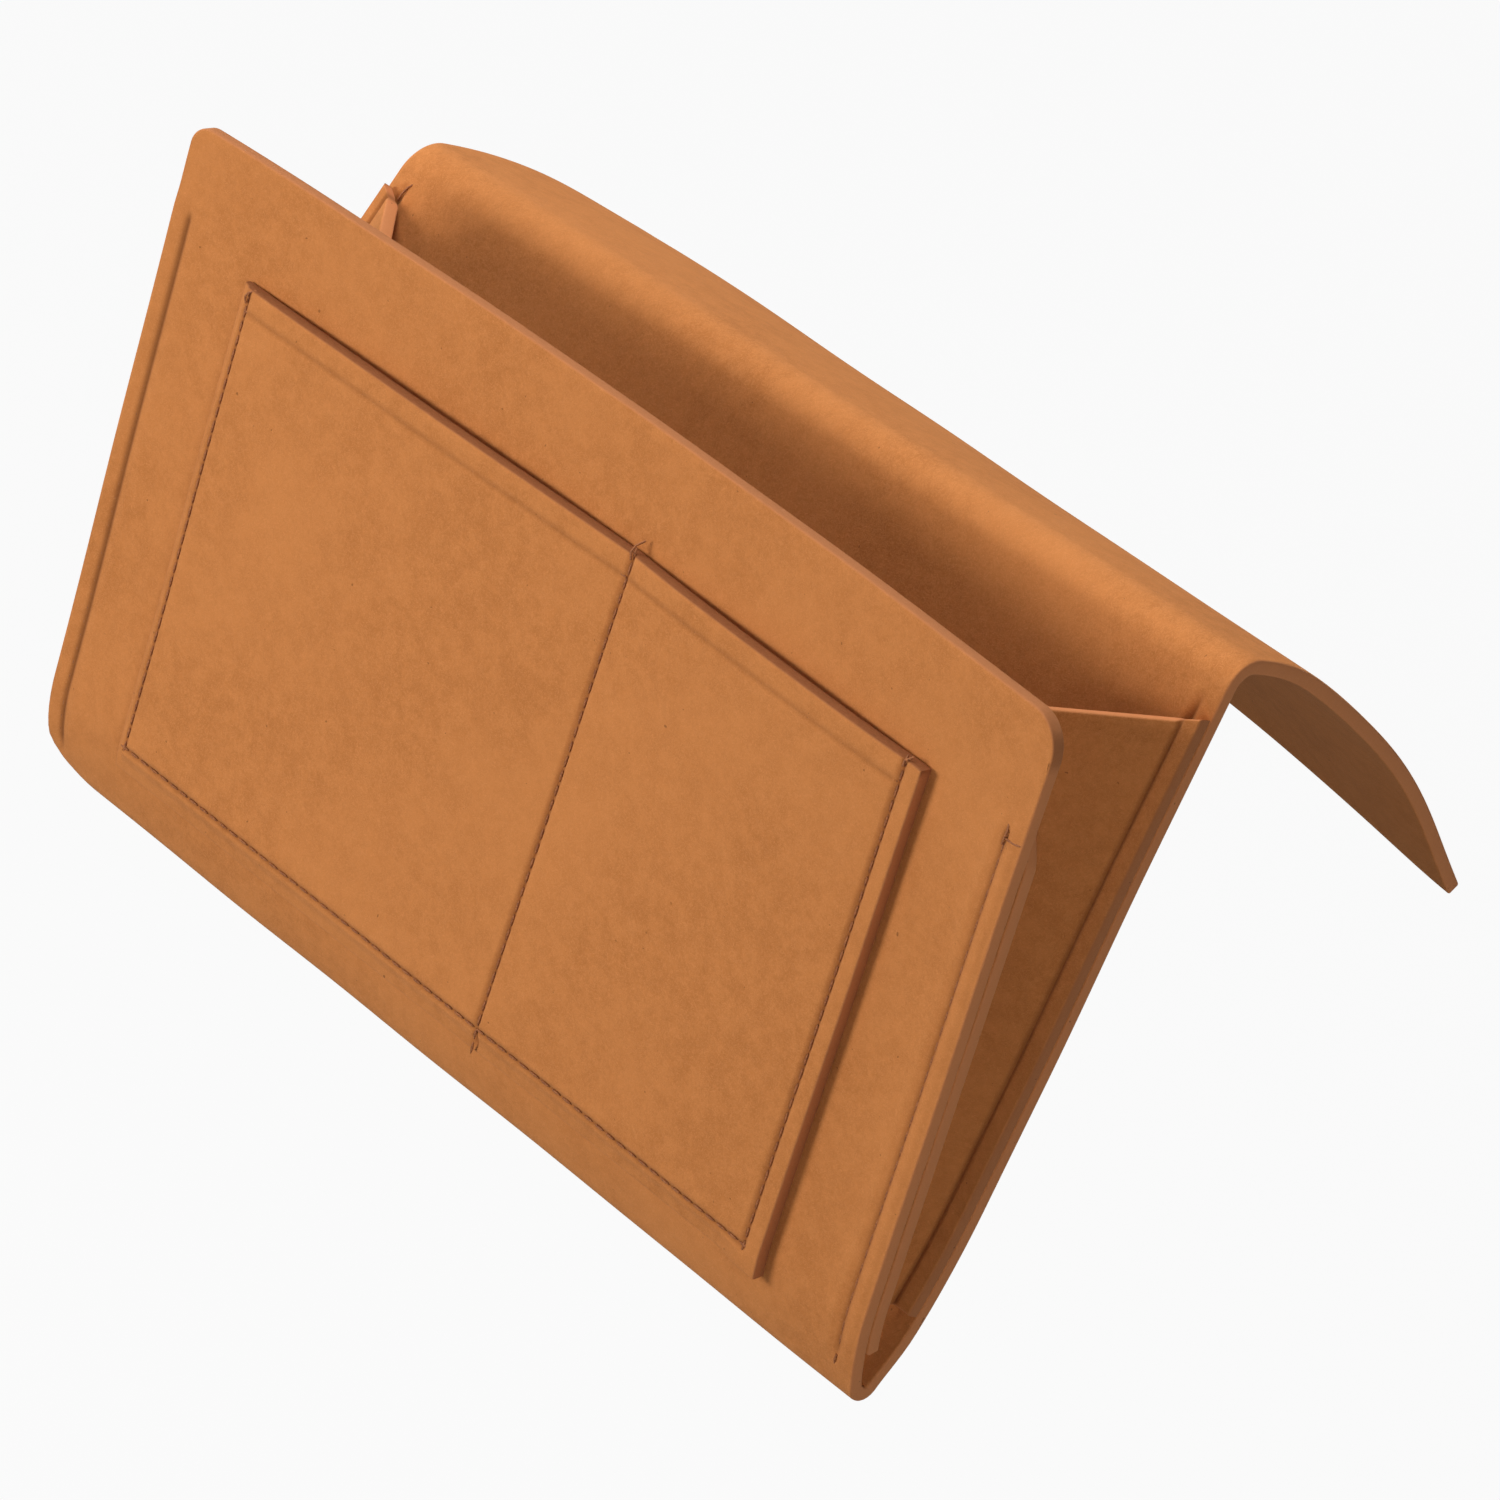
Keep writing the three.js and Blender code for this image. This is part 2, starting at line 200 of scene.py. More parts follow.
def threadMaterial():
    look = threadLook
    paint = Paint("sewing thread")
    place = paint.level("ShaderNodeTexCoord", output="Object")
    strands = paint.level("ShaderNodeTexNoise", None, {
        "Vector": place, "Scale": look["twist"], "Detail": look["twistDetail"]})
    colour = paint.mix(paint.between(strands, *look["tones"]), look["body"], look["pale"])
    bump = paint.node("ShaderNodeBump", None, {
        "Strength": look["relief"], "Distance": look["reliefDepth"], "Height": strands})
    shader = paint.node("ShaderNodeBsdfPrincipled", None, {
        "Base Color": colour, "Roughness": look["roughness"], "Normal": bump.outputs[0]})
    paint.node("ShaderNodeOutputMaterial", None, {"Surface": shader.outputs[0]})
    return paint.material


felt, thread = feltMaterial(), threadMaterial()
print("materials made")

# The strip of felt. On both sides of the fold a heel takes the rest of the turn; turns and leans are in
# degrees, corners are the radii at the left and the right, and its seam grooves and the front's top edge
# get painted shade in their colour
strip = {"width": 0.320, "thickness": 0.004, "front": 0.192, "frontLean": 11.9, "bow": 0.008,
         "corners": (0.0058, 0.010), "softEdge": 0.0006, "foldRadius": 0.0025, "foldTurn": 75,
         "frontFoldRadius": 0.005, "frontFoldTurn": 55, "frontHeel": 0.024, "backHeel": 0.0525,
         "lowBack": 0.0167, "leaningBack": 0.045, "shoulder": 0.026, "paintedShade": 0.6, "paintedHeadShade": 0.5}
# The two ends of the strip hang in their own ways
rightHang = {"lean": 0, "upper": 0.0806, "bendRadius": 0.0065, "shoulderTurn": 16,
             "flap": 0.118, "flapTurn": 20}
leftHang = {"lean": 16.5, "upper": 0.0668, "bendRadius": 0.0105, "shoulderTurn": 5,
            "flap": 0.128, "flapTurn": 21}
# Slow swells and droops of the flap: place across, run past the bend, reach across, reach along, height
flapSwells = [(-1, 0.080, 0.22, 0.030, -0.0020), (-0.55, 0.070, 0.45, 0.045, 0.0009),
              (0.15, 0.060, 0.50, 0.040, 0.0013), (0.75, 0.030, 0.30, 0.030, 0.0010),
              (1, 0.085, 0.14, 0.026, 0.0008), (1, 0.138, 0.18, 0.026, -0.0019),
              (0.40, 0.146, 0.38, 0.045, 0.0028), (-0.3, 0.144, 0.50, 0.040, 0.0012)]
# The right side of the back swells a little low down, and the left end of the fold is drawn up
backSwell = {"height": 0.0010, "reach": 0.30, "from": 0.004, "rise": 0.015, "to": 0.150, "fade": 0.06}
foldLift = {"height": 0.0034, "from": -0.140, "reach": 0.008}
# Slow unevenness of the felt: waves across and along, and where each begins
rippleHeight = 0.00007
rippleWaves = ((34, 22, 0.4), (-18, 46, 2.1), (62, -28, 4.0), (10, 74, 1.2), (88, 58, 5.1))
halfWidth = strip["width"] / 2
halfThick = strip["thickness"] / 2
foldLine = (-0.0247959, -0.1924838)   # Y and Z of the line that the front folds about


def smooth(share):
    share = np.clip(share, 0, 1)
    return share * share * (3 - 2 * share)


def stretchesOf(hang):
    # the back and the flap as a row of stretches, each a length and a turn in degrees
    fold, bend = strip["foldTurn"], 90 - hang["lean"]
    return [(strip["foldRadius"] * math.radians(fold), -fold), (strip["backHeel"], fold - 90),
            (strip["lowBack"], 0), (strip["leaningBack"], hang["lean"]), (hang["upper"], 0),
            (hang["bendRadius"] * math.radians(bend), bend), (strip["shoulder"], hang["shoulderTurn"]),
            (hang["flap"], hang["flapTurn"])]


def marksOf(stretches):
    return np.concatenate([[0], np.cumsum([length for length, _ in stretches])])


rightEnd, leftEnd = stretchesOf(rightHang), stretchesOf(leftHang)
rightMarks, leftMarks = marksOf(rightEnd), marksOf(leftEnd)
bendStart = 5   # the mark at which the bend over the bed's edge begins
flatMiddle = (rightMarks[2] + rightMarks[3]) / 2   # halfway up the low back, where the strip's pieces meet
bendMiddle = (rightMarks[bendStart] + rightMarks[bendStart + 1]) / 2


def walkProfile(stretches, runs):
    # heading is the angle from +Z towards +Y
    left = np.array(runs, float)
    y, z, heading = np.zeros(left.shape), np.zeros(left.shape), np.full(left.shape, math.pi / 2)
    for index, (length, turn) in enumerate(stretches):
        step = left if index == len(stretches) - 1 else np.clip(left, 0, length)
        bend = math.radians(turn) * step / length
        chord = step * np.sinc(bend / 2 / math.pi)
        y += chord * np.sin(heading + bend / 2)
        z += chord * np.cos(heading + bend / 2)
        heading += bend
        left = left - step
    return y, z, heading


def backSpots(xs, runs):
    # places, normals and cloth runs on the back and the flap
    # runs are counted at the right end, and the left end takes the same station
    xs, runs = np.broadcast_arrays(np.asarray(xs, float), np.asarray(runs, float))
    leftRuns = np.interp(runs, rightMarks, leftMarks)
    right, left = walkProfile(rightEnd, runs), walkProfile(leftEnd, leftRuns)
    share = (halfWidth - xs) / strip["width"]
    y, z, heading = [a + (b - a) * share for a, b in zip(right, left)]
    wide = xs / halfWidth
    lift = np.zeros(xs.shape)
    for place, run, reachAcross, reachAlong, height in flapSwells:
        past = (runs - bendMiddle - run) / reachAlong
        lift += height * np.exp(-((wide - place) / reachAcross) ** 2 - past ** 2)
    swell = backSwell["height"] * np.exp(-((wide - 1) / backSwell["reach"]) ** 2)
    fadeFrom = backSwell["to"] - backSwell["fade"]
    swell *= smooth((runs - backSwell["from"]) / backSwell["rise"])
    swell *= 1 - smooth((runs - fadeFrom) / backSwell["fade"])
    middle = np.stack([xs, y + foldLine[0] + swell, z + foldLine[1] + lift], -1)
    normal = np.stack([np.zeros(xs.shape), -np.cos(heading), np.sin(heading)], -1)
    return middle, normal, runs + (leftRuns - runs) * share


def frontSpots(xs, runs):
    # places and normals on the front, which is bowed across; here runs count upwards, and every row of
    # spots stands at one place across
    xs, runs = np.broadcast_arrays(np.asarray(xs, float), np.asarray(runs, float))
    middle, normal = np.zeros(xs.shape + (3,)), np.zeros(xs.shape + (3,))
    turn = strip["frontFoldTurn"]
    bowed = math.degrees(math.atan(strip["bow"] / strip["front"]))
    for i in np.ndindex(xs.shape[:-1]):
        lean = strip["frontLean"] - bowed * (1 - (xs[i][0] / halfWidth) ** 2)
        stretches = [(strip["frontFoldRadius"] * math.radians(turn), -turn),
                     (strip["frontHeel"], lean - (90 - turn)), (strip["front"], 0)]
        y, z, heading = walkProfile(stretches, runs[i])
        middle[i] = np.stack([xs[i], foldLine[0] - y, foldLine[1] + z], -1)
        normal[i] = np.stack([np.zeros(y.shape), np.cos(heading), np.sin(heading)], -1)
    return middle, normal


def ripple(xs, runs):
    # the same for every sheet that shares a run
    waves = [np.sin(across * xs + along * runs + start) for across, along, start in rippleWaves]
    return rippleHeight * sum(waves)


# Grid lines stand closer together at a seam: their offsets from it, the stretch that they take over, and
# how near they come to the sheet's edge
seamGrid = {"offsets": 0.0006 * np.array([1, 2, 3, 4.2, 5.6, 7]), "reach": 0.0042, "clear": 0.0009}


def gridLines(start, stop, coarse, seams=()):
    marks = list(np.linspace(start, stop, max(2, round(abs(stop - start) / coarse) + 1)))
    low, high = min(start, stop) + seamGrid["clear"], max(start, stop) - seamGrid["clear"]
    for seam in seams:
        marks = [mark for mark in marks if abs(mark - seam) > seamGrid["reach"] or mark in (start, stop)]
        near = [seam, *(seam - seamGrid["offsets"]), *(seam + seamGrid["offsets"])]
        marks += [mark for mark in near if low < mark < high]
    return np.array(sorted(marks, reverse=bool(start > stop)))


def seamAway(xs, runs, seams):
    # distance to the nearest seam; a seam that draws in more felt has its breadth as a third value
    away = np.full(np.broadcast(xs, runs).shape, strip["width"])
    for (x0, r0), (x1, r1), *breadth in seams:
        along = np.array([x1 - x0, r1 - r0])
        share = np.clip(((xs - x0) * along[0] + (runs - r0) * along[1]) / along.dot(along), 0, 1)
        here = np.hypot(xs - x0 - share * along[0], runs - r0 - share * along[1])
        away = np.minimum(away, here / (breadth[0] if breadth else 1))
    return away


def seamDips(away, depth=0.0008, swell=0.32, reach=0.0026, width=0.00085):
    # how far a face is drawn in at its seams, with a swell on each side
    swellBreadth = reach * 0.46
    swelled = swell * np.exp(-((away - reach) / swellBreadth) ** 2)
    return depth * (np.exp(-(away / width) ** 2) - swelled)


def seamShadeMask(away, width=0.0008):
    # how much painted shade lies in the colour along a seam groove
    return np.exp(-(away / width) ** 2)


# Rings of points round a softened edge: degrees turned, share of the cut edge's colour, share of its painted
# shade
edgeRings = ((30, 0.45, 0.5), (60, 1.0, 1.0), (90, 1.0, 1.0))
weldDistance, sharpAngle = 1e-6, 50   # in metres and degrees


def waysOut(middle, normal, soft):
    # which way the sheet's edge faces, and how far its felt draws back there to leave room for the rounding
    alongColumns, alongRows = np.gradient(middle, axis=0), np.gradient(middle, axis=1)
    sides = {"start": ((0, slice(None)), -alongColumns), "stop": ((-1, slice(None)), alongColumns),
             "foot": ((slice(None), 0), -alongRows), "head": ((slice(None), -1), alongRows)}
    outward, rounding = np.zeros(middle.shape), np.zeros(middle.shape[:2])
    for side in soft:
        index, way = sides[side]
        outward[index] += way[index] / np.linalg.norm(way[index], axis=-1, keepdims=True)
        rounding[index] = strip["softEdge"]
    # at the head the outline leads the way out, so that a rounded corner stays smooth
    outline = np.cross(normal[:, -1], np.gradient(middle[:, -1], axis=0))
    outline *= np.sign(np.einsum("ij,ij->i", outline, alongRows[:, -1]))[:, None]
    outline /= np.linalg.norm(outline, axis=-1, keepdims=True)
    outward[1:-1, -1] = outline[1:-1]
    for end, way in ((0, -alongColumns[0, -2]), (-1, alongColumns[-1, -2])):
        way = way / np.linalg.norm(way)
        outward[end, -1] = way + outline[end] - way * way.dot(outline[end])
    return outward, rounding


def ringRound(columns, rows):
    # the border of a grid of spots, once round
    ring = [(i, 0) for i in range(columns)] + [(columns - 1, j) for j in range(1, rows)]
    ring += [(i, rows - 1) for i in range(columns - 2, -1, -1)] + [(0, j) for j in range(rows - 2, 0, -1)]
    return tuple(np.array(ring).T)


def sheetFaces(columns, rows, ring, points):
    # the two faces of a sheet, and the rings of its edge between them
    grid = np.arange(columns * rows).reshape(columns, rows)
    quads = np.stack([grid[:-1, :-1], grid[1:, :-1], grid[1:, 1:], grid[:-1, 1:]], -1).reshape(-1, 4)
    faces = [quads, quads[:, ::-1] + columns * rows]
    count = len(ring[0])
    between = [2 * columns * rows + k * count + np.arange(count) for k in range(2 * len(edgeRings))]
    levels = [grid[ring], *between, grid[ring] + columns * rows]
    for high, low in zip(levels, levels[1:]):
        faces.append(np.stack([high, low, np.roll(low, -1), np.roll(high, -1)], -1))
    faces = np.concatenate(faces)
    a, b, c, d = [points[faces[:, k]] for k in range(4)]
    volume = (np.einsum("ij,ij->i", a, np.cross(b, c)) + np.einsum("ij,ij->i", a, np.cross(c, d))).sum()
    return faces[:, ::-1] if volume < 0 else faces


def feltObject(name, points, faces, marks):
    mesh = bpy.data.meshes.new(name)
    mesh.from_pydata(points.tolist(), [], faces.tolist())
    for key, values in marks.items():
        kind, field = ("FLOAT", "value") if values.ndim == 1 else ("FLOAT_VECTOR", "vector")
        mesh.attributes.new(key, kind, "POINT").data.foreach_set(field, values.astype(np.float32).ravel())
    work = bmesh.new()
    work.from_mesh(mesh)
    bmesh.ops.remove_doubles(work, verts=work.verts, dist=weldDistance)
    work.to_mesh(mesh)
    work.free()
    mesh.polygons.foreach_set("use_smooth", [True] * len(mesh.polygons))
    mesh.set_sharp_from_angle(angle=math.radians(sharpAngle))
    mesh.materials.append(felt)
    sheet = bpy.data.objects.new(name, mesh)
    bpy.context.collection.objects.link(sheet)
    return sheet


def feltSheet(name, middle, normal, cloth, upper, lower, soft, paintedShades, paintedEdgeShade=(0, 0), paintedHeadShade=0):
    # both faces of a sheet on a grid of spots, closed by a cut edge that is rounded on the sides in soft; the
    # last three arguments paint shade into the colour: each face at its seams, the cut edge beside each face,
    # and the cut edge at the head
    columns, rows = middle.shape[:2]
    outward, rounding = waysOut(middle, normal, soft)
    middle = middle - outward * rounding[..., None]
    ring = ringRound(columns, rows)
    radius, atHead = rounding[ring], paintedHeadShade * (ring[1] == rows - 1)
    top, bottom = middle + normal * upper[..., None], middle - normal * lower[..., None]
    points = [top.reshape(-1, 3), bottom.reshape(-1, 3)]
    felts = [np.concatenate([cloth, depth[..., None]], -1).reshape(-1, 3) for depth in (upper, -lower)]
    edges = [np.zeros(columns * rows * 2)]
    dark = [paintedShades[0].ravel(), paintedShades[1].ravel()]
    faceRings = [(0, 1, *turn) for turn in edgeRings] + [(1, -1, *turn) for turn in edgeRings[::-1]]
    for face, sign, angle, edgeShare, shadeShare in faceRings:
        reach, drop = math.sin(math.radians(angle)), 1 - math.cos(math.radians(angle))
        level = sign * ((upper, lower)[face][ring] - radius * drop)
        spots = middle[ring] + outward[ring] * (radius * reach)[:, None]
        points.append(spots + normal[ring] * level[:, None])
        felts.append(np.concatenate([cloth[ring], level[:, None]], -1))
        edges.append(np.where(radius > 0, edgeShare, 0))
        # painted shade on the rings of the cut edge
        dark.append(np.maximum(paintedShades[face][ring], np.maximum(paintedEdgeShade[face], atHead) * shadeShare))
    points, felts, edges, dark = [np.concatenate(parts) for parts in (points, felts, edges, dark)]
    faces = sheetFaces(columns, rows, ring, points)
    marks = {"feltPoint": felts, "cutEdge": edges, "paintedShade": np.clip(dark, 0, 1)}
    return feltObject(name, points, faces, marks)


def clothGrid(xs, runs):
    return np.stack(np.broadcast_arrays(xs, runs), -1)


# The pocket's patch, in places across and runs up the front; painted shade darkens the colour at its seams,
# hem, cut edges and top edge
pocket = {"left": -0.127, "right": 0.127, "foot": 0.0195, "head": 0.162, "leftSeam": -0.1234,
          "rightSeam": 0.1212, "divider": 0.0205, "footSeam": 0.0260, "hemSeam": 0.1555, "bulge": 0.0022,
          "gap": 0.00025, "grid": 0.0028, "pressed": 0.0016, "pressedLeft": 0.0030, "pressedFoot": 0.0045,
          "pressedRight": 0.010, "seamDepth": 0.0010, "hemDepth": 0.0003, "paintedSeamShade": 0.55,
          "seamWidth": 0.0007, "paintedHemShade": 0.3, "paintedEdgeShade": (0.75, 0.45), "paintedHeadShade": 1.0,
          "clothShift": 0.4, "bulgeAcross": 0.8, "bulgeUp": 0.9}
# Seams, as (across, run) at both ends, in the cloth of the strip
marginLine = halfWidth - 0.0060
frontMargins = [((marginLine, -0.0138), (marginLine, -0.1606)),
                ((-marginLine, -0.0105), (-marginLine, -0.1678), 1.5)]
backMargins = [((marginLine, 0.0245), (marginLine, 0.1925)), ((-marginLine, 0.0245), (-marginLine, 0.1800))]
# Seams of the pocket, with runs up the front: left, foot, right, divider
pocketSeams = [((pocket["leftSeam"], 0.1594), (pocket["leftSeam"], 0.0268)),
               ((pocket["leftSeam"], 0.0265), (pocket["rightSeam"], 0.0255)),
               ((pocket["rightSeam"], 0.0250), (pocket["rightSeam"], 0.1614)),
               ((0.0212, 0.1622), (0.0203, 0.0208))]
hemSeam = [((pocket["leftSeam"] + 0.001, pocket["hemSeam"]),
            (pocket["rightSeam"] - 0.002, pocket["hemSeam"]))]
throughPocket = [((x0, -r0), (x1, -r1)) for (x0, r0), (x1, r1) in pocketSeams]

# The lower piece of the strip: cornerTurns, in degrees, place more grid lines at its rounded corners, and
# the seam along the front's left margin gets the strongest painted shade in its colour
lowerPiece = {"grid": 0.0032, "foldFrom": 0.0075, "foldTo": -0.0065, "foldRows": 20, "cornerFade": 0.030,
              "cornerTurns": np.arange(45, 90, 7), "foldPull": 0.0008, "foldReach": 0.011, "leftPull": 0.0010,
              "pullFrom": 0.140, "pullOver": 0.020, "tuckReach": 0.0014, "paintedLeftShade": 1.0,
              "outerSeam": {"depth": 0.0006, "swell": 0.8, "reach": 0.0032, "width": 0.00065}}


def roundedHead(x, run):
    # runs of the front, lowered at its two rounded corners
    corner = np.where(x < 0, *strip["corners"])
    past = np.clip(np.abs(x) - halfWidth + corner, 0, corner)
    lowered = corner - np.sqrt(np.maximum(corner ** 2 - past ** 2, 0))
    fade = lowerPiece["cornerFade"]
    return run + lowered * smooth((-run - strip["front"] + fade) / fade)


def drawnIn(x, cloth):
    # how far the sides are drawn in: at the fold, along the front's left, and to stay inside a rounded edge
    piece = lowerPiece
    pull = piece["foldPull"] * np.exp(-(cloth / piece["foldReach"]) ** 2)
    pull = pull + np.where((x < 0) & (cloth < 0), piece["leftPull"], 0)
    pull *= smooth((np.abs(x) - piece["pullFrom"]) / piece["pullOver"])
    gap = halfWidth - np.abs(x)
    tucked = np.where(gap > 0, strip["softEdge"] * np.clip(1 - gap / piece["tuckReach"], 0, 1), 0)
    tucked[:, -1] = 0
    return pull + tucked


def foldRise(x, cloth):
    share = np.clip((foldLift["from"] - x) / (foldLift["from"] + halfWidth), 0, 1)
    return foldLift["height"] * share ** 2 * np.exp(-(cloth / foldLift["reach"]) ** 2)


def lowerStrip():
    # the lower back, the fold and the front
    piece = lowerPiece
    uprights = (-marginLine, marginLine, pocket["leftSeam"], pocket["divider"], pocket["rightSeam"])
    xs = gridLines(-halfWidth, halfWidth, piece["grid"], uprights)
    bends = 1 - np.sin(np.radians(piece["cornerTurns"]))
    leftCorner, rightCorner = strip["corners"]
    roundings = [leftCorner * bends - halfWidth, halfWidth - rightCorner * bends]
    xs = np.unique(np.concatenate([xs, *roundings]).round(6))
    backRuns = gridLines(flatMiddle, piece["foldFrom"], piece["grid"])
    foldRuns = np.linspace(piece["foldFrom"], piece["foldTo"], piece["foldRows"])[1:-1]
    frontRuns = gridLines(piece["foldTo"], -strip["front"], piece["grid"], (-pocket["footSeam"],))
    runs = np.concatenate([backRuns, foldRuns, frontRuns])
    x, run = np.meshgrid(xs, runs, indexing="ij")
    run = roundedHead(x, run)
    middle, normal, cloth = np.zeros(x.shape + (3,)), np.zeros(x.shape + (3,)), np.array(run)
    back = runs >= 0
    middle[:, back], normal[:, back], cloth[:, back] = backSpots(x[:, back], run[:, back])
    middle[:, ~back], normal[:, ~back] = frontSpots(x[:, ~back], -run[:, ~back])
    middle = middle + normal * ripple(x, cloth)[..., None]
    middle[..., 2] += foldRise(x, cloth)
    middle[..., 0] -= np.sign(x) * drawnIn(x, cloth)
    margins = seamAway(x, cloth, frontMargins + backMargins)
    inside = np.minimum(margins, seamAway(x, cloth, throughPocket))
    outer = piece["outerSeam"]
    # painted shade in the colour: at the seams on both faces, strongest at the left margin, and on the front's
    # top edge
    outerShade = np.where(x < 0, piece["paintedLeftShade"], strip["paintedShade"]) * seamShadeMask(margins, outer["width"])
    return feltSheet("front_and_fold", middle, normal, clothGrid(x, cloth), halfThick - seamDips(inside),
                     halfThick - seamDips(margins, **outer), ("start", "stop", "head"),
                     (strip["paintedShade"] * seamShadeMask(inside), outerShade), paintedHeadShade=strip["paintedHeadShade"])


upperPiece = {"gridAcross": 0.0032, "grid": 0.0034, "bendFrom": 0.194, "bendTo": 0.216, "bendRows": 34}


def upperStrip():
    # the upper back, the bend and the flap
    piece = upperPiece
    xs = gridLines(-halfWidth, halfWidth, piece["gridAcross"], (-marginLine, marginLine))
    backRuns = gridLines(flatMiddle, piece["bendFrom"], piece["grid"])
    bendRuns = np.linspace(piece["bendFrom"], piece["bendTo"], piece["bendRows"])[1:-1]
    flapRuns = gridLines(piece["bendTo"], rightMarks[-1], piece["grid"])
    x, run = np.meshgrid(xs, np.concatenate([backRuns, bendRuns, flapRuns]), indexing="ij")
    middle, normal, cloth = backSpots(x, run)
    middle = middle + normal * ripple(x, cloth)[..., None]
    away = seamAway(x, cloth, backMargins)
    faces = halfThick - seamDips(away)
    # painted shade in the colour along the seam grooves of both faces
    return feltSheet("back_and_flap", middle, normal, clothGrid(x, cloth), faces, faces,
                     ("start", "stop", "head"), (strip["paintedShade"] * seamShadeMask(away),) * 2)


def pocketStandOff(xs, runs):
    # from the front to the middle of the patch, which bulges in its two compartments
    seams = np.array([pocket["leftSeam"], pocket["divider"], pocket["rightSeam"]])
    index = np.clip(np.searchsorted(seams, xs) - 1, 0, 1)
    middle, half = (seams[index] + seams[index + 1]) / 2, (seams[index + 1] - seams[index]) / 2
    across = np.clip(1 - ((xs - middle) / half) ** 2, 0, 1)
    height = np.clip((runs - pocket["footSeam"]) / (pocket["head"] - pocket["footSeam"]), 0, 1)
    bulge = pocket["bulge"] * across ** pocket["bulgeAcross"] * height ** pocket["bulgeUp"]
    return strip["thickness"] + pocket["gap"] + bulge


def pocketSheet():
    uprights = (pocket["leftSeam"], pocket["divider"], pocket["rightSeam"])
    xs = gridLines(pocket["left"], pocket["right"], pocket["grid"], uprights)
    runs = gridLines(pocket["foot"], pocket["head"], pocket["grid"], (pocket["footSeam"], pocket["hemSeam"]))
    x, run = np.meshgrid(xs, runs, indexing="ij")
    middle, normal = frontSpots(x, run)
    sewn, hem = seamAway(x, run, pocketSeams), seamAway(x, run, hemSeam)
    atFoot = smooth((pocket["footSeam"] - run) / pocket["pressedFoot"])
    atFoot *= smooth((pocket["rightSeam"] - x) / pocket["pressedRight"])
    pressed = pocket["pressed"] * (smooth((pocket["leftSeam"] - x) / pocket["pressedLeft"]) + atFoot)
    dips = np.maximum(seamDips(sewn, pocket["seamDepth"]), seamDips(hem, pocket["hemDepth"]))
    outer = halfThick - dips - np.minimum(pressed, pocket["pressed"])
    middle = middle + normal * (ripple(x, -run) - pocketStandOff(x, run))[..., None]
    # painted shade in the colour at the seams and the hem; the cut edges and the top edge get it too
    lines = np.maximum(pocket["paintedSeamShade"] * seamShadeMask(sewn, pocket["seamWidth"]),
                       pocket["paintedHemShade"] * seamShadeMask(hem))
    return feltSheet("pocket", middle, normal, clothGrid(x, run + pocket["clothShift"]),
                     np.full(x.shape, halfThick), outer, ("start", "stop", "foot", "head"),
                     (np.zeros(x.shape), lines), pocket["paintedEdgeShade"], pocket["paintedHeadShade"])


# Pairs are for the left and the right gusset. The left one sits a little in, and the right one's front edge
# slants in at the top. Painted shade darkens the colour at the seams and the top edges
gusset = {"flange": 0.006, "frontTop": 0.162, "frontFoot": 0.015, "backFoot": 0.024,
          "backDrops": (0.0055, 0.008), "backFall": 0.0028, "pleatHeights": (0.985, 0.962),
          "leafTops": (0.046, 0.048), "leafFoot": 0.009, "pleatRadius": 0.002, "ease": 0.0018, "gap": 0.00025,
          "leftInset": 0.0018, "slant": 0.0035, "slantFrom": 0.93, "slantOver": 0.07, "rows": 62,
          "curvePoints": 6, "pleatPoints": 9, "spans": (6, 5, 20, 8, 20, 5, 6), "seamDepth": 0.0007,
          "paintedShade": 0.7, "paintedShadeWidth": 0.0012, "paintedHeadShade": 0.5, "height": 0.165, "clothShift": 0.9}


def cornerCurve(before, corner, after):
    reach = min(gusset["ease"], np.linalg.norm(before - corner) / 2, np.linalg.norm(after - corner) / 2)
    start = corner + (before - corner) / np.linalg.norm(before - corner) * reach
    stop = corner + (after - corner) / np.linalg.norm(after - corner) * reach
    shares = np.linspace(0, 1, gusset["curvePoints"])[:, None]
    return (1 - shares) ** 2 * start + 2 * shares * (1 - shares) * corner + shares ** 2 * stop


def facingSpots(side, across, share, backFall=0.0):
    # spots on the faces that a gusset is sewn to, one on the front and one on the back
    marks = rightMarks if side > 0 else leftMarks
    offset = strip["thickness"] + gusset["gap"]
    backTop = marks[bendStart] - gusset["backDrops"][side > 0]
    frontRun = gusset["frontFoot"] + (gusset["frontTop"] - gusset["frontFoot"]) * share
    backRun = gusset["backFoot"] + (backTop - gusset["backFoot"]) * share - backFall
    x = np.array([side * across])
    front, facing = frontSpots(x, np.array([frontRun]))
    back, rearFacing, _ = backSpots(x, np.array([np.interp(backRun, marks, rightMarks)]))
    return front[0] + facing[0] * offset, back[0] + rearFacing[0] * offset


def pleatCurve(side, share, lowFront, lowBack):
    # the fold of the pleat, where its two leaves meet
    leaf = gusset["leafFoot"] + (gusset["leafTops"][side > 0] - gusset["leafFoot"]) * share
    across = lowFront - lowBack
    half = np.linalg.norm(across) / 2
    across = across / (2 * half)
    inward = np.array([-side, 0, 0.0])
    radius = gusset["pleatRadius"]
    reach = math.sqrt(max(leaf ** 2 - half ** 2, 0)) - radius
    tilt = math.asin(radius / math.hypot(reach, half)) - math.atan2(half, reach)
    centre = (lowFront + lowBack) / 2 + inward * reach
    angles = np.linspace(math.pi / 2 + tilt, -math.pi / 2 - tilt, gusset["pleatPoints"])[:, None]
    return centre + radius * (inward * np.cos(angles) + across * np.sin(angles))


